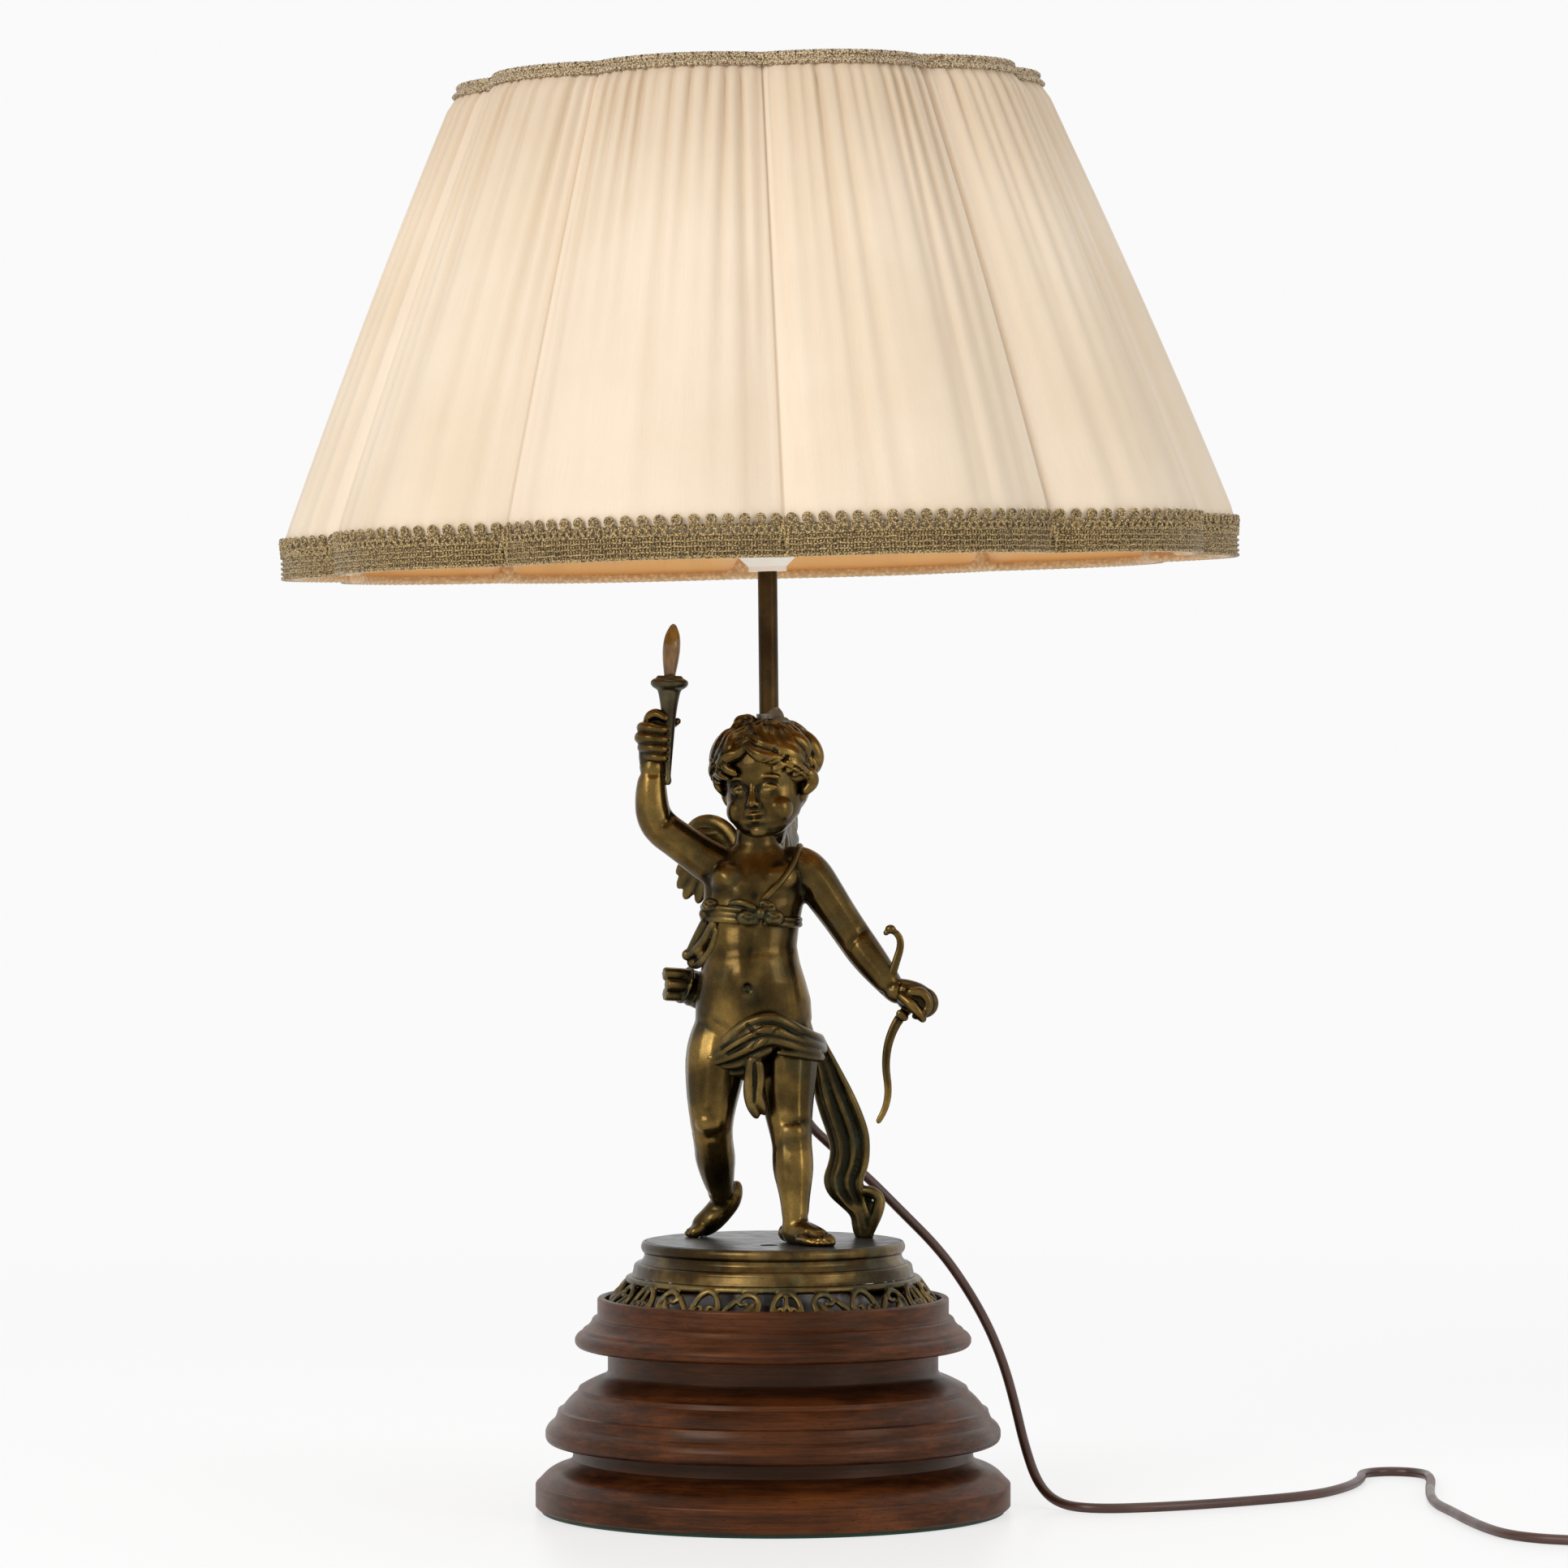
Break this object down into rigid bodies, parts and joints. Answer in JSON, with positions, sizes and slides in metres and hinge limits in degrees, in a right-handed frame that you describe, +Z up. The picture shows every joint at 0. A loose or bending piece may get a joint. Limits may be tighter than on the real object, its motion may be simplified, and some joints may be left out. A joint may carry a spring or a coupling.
{
  "type": "figural table lamp",
  "caption": "Table lamp with a turned plinth, pierced cast base, torch-bearing winged figure and a fluted lobed fabric shade",
  "frame": {"origin": "centre of the felt's underside, where the plinth stands", "axes": "+Z up along the plinth's turning axis, -Y to the front of the figure, +X to the figure's lowered arm"},
  "size_m": [0.7237, 0.4856, 0.7387],
  "materials": {
    "felt": "matt felt",
    "wood": "satin stained hardwood",
    "steel": "plain",
    "cast_metal": "bronze-patinated casting",
    "amber_glass": "translucent",
    "solder": "dull",
    "brass": "satin",
    "white_plastic": "gloss",
    "bulb_metal": "bright",
    "bulb_glass": "frosted",
    "shade_fabric": "pleated silk-like cloth",
    "lining_fabric": "smooth cloth",
    "braid": "metallic thread braid",
    "frame_wire": "tape-wrapped wire",
    "cord_plastic": "semi-gloss flexible plastic",
    "nickel": "nickel plate"
  },
  "bodies": {
    "base": {"base_felt": "felt", "plinth_lower": "wood", "plinth_middle": "wood", "plinth_upper": "wood", "tie_rod": "steel", "tie_washer": "steel", "tie_nut_lower": "steel", "tie_nut_upper": "steel", "pierced_gallery": "cast_metal", "base_moulding": "cast_metal", "top_plate": "cast_metal", "foot_screws": "steel", "figure_body": "cast_metal", "figure_head": "cast_metal", "chest_sash": "cast_metal", "raised_arm": "cast_metal", "lowered_arm": "cast_metal", "torch_body": "cast_metal", "torch_flame": "amber_glass", "raised_hand": "cast_metal", "lowered_hand": "cast_metal", "bow": "cast_metal", "wing_left": "cast_metal", "wing_right": "cast_metal", "loin_drapery": "cast_metal", "drapery_tail": "cast_metal", "drapery_train": "cast_metal", "quiver": "cast_metal", "quiver_arrows": "cast_metal", "stem_collar": "solder", "stem_tube": "brass", "holder_cap": "white_plastic", "holder_body": "white_plastic", "holder_shell": "brass", "holder_contact": "brass", "bulb_cap": "bulb_metal", "bulb_globe": "bulb_glass", "cord_bush": "cord_plastic", "cord": "cord_plastic", "cord_coil": "cord_plastic", "cord_tail": "cord_plastic", "plug_body": "cord_plastic", "plug_pins": "nickel"},
    "shade": {"shade_cover": "shade_fabric", "shade_lining": "lining_fabric", "bottom_braid": "braid", "top_braid": "braid", "shade_bottom_ring": "frame_wire", "shade_top_ring": "frame_wire", "shade_struts": "frame_wire", "fitter_ring": "frame_wire", "fitter_arms": "frame_wire"},
    "ring_nut": {"shade_ring_nut": "white_plastic"}
  },
  "joints": [
    {"name": "shade_swivel", "type": "hinge", "parent": "base", "child": "shade", "pos_m": [-0.00354, 0, 0.50999], "axis": [-0.0262, 0, 0.9997], "continuous": true},
    {"name": "shade_ring_turn", "type": "hinge", "parent": "base", "child": "ring_nut", "pos_m": [-0.0037, 0, 0.51599], "axis": [-0.0262, 0, 0.9997], "continuous": true}
  ]
}
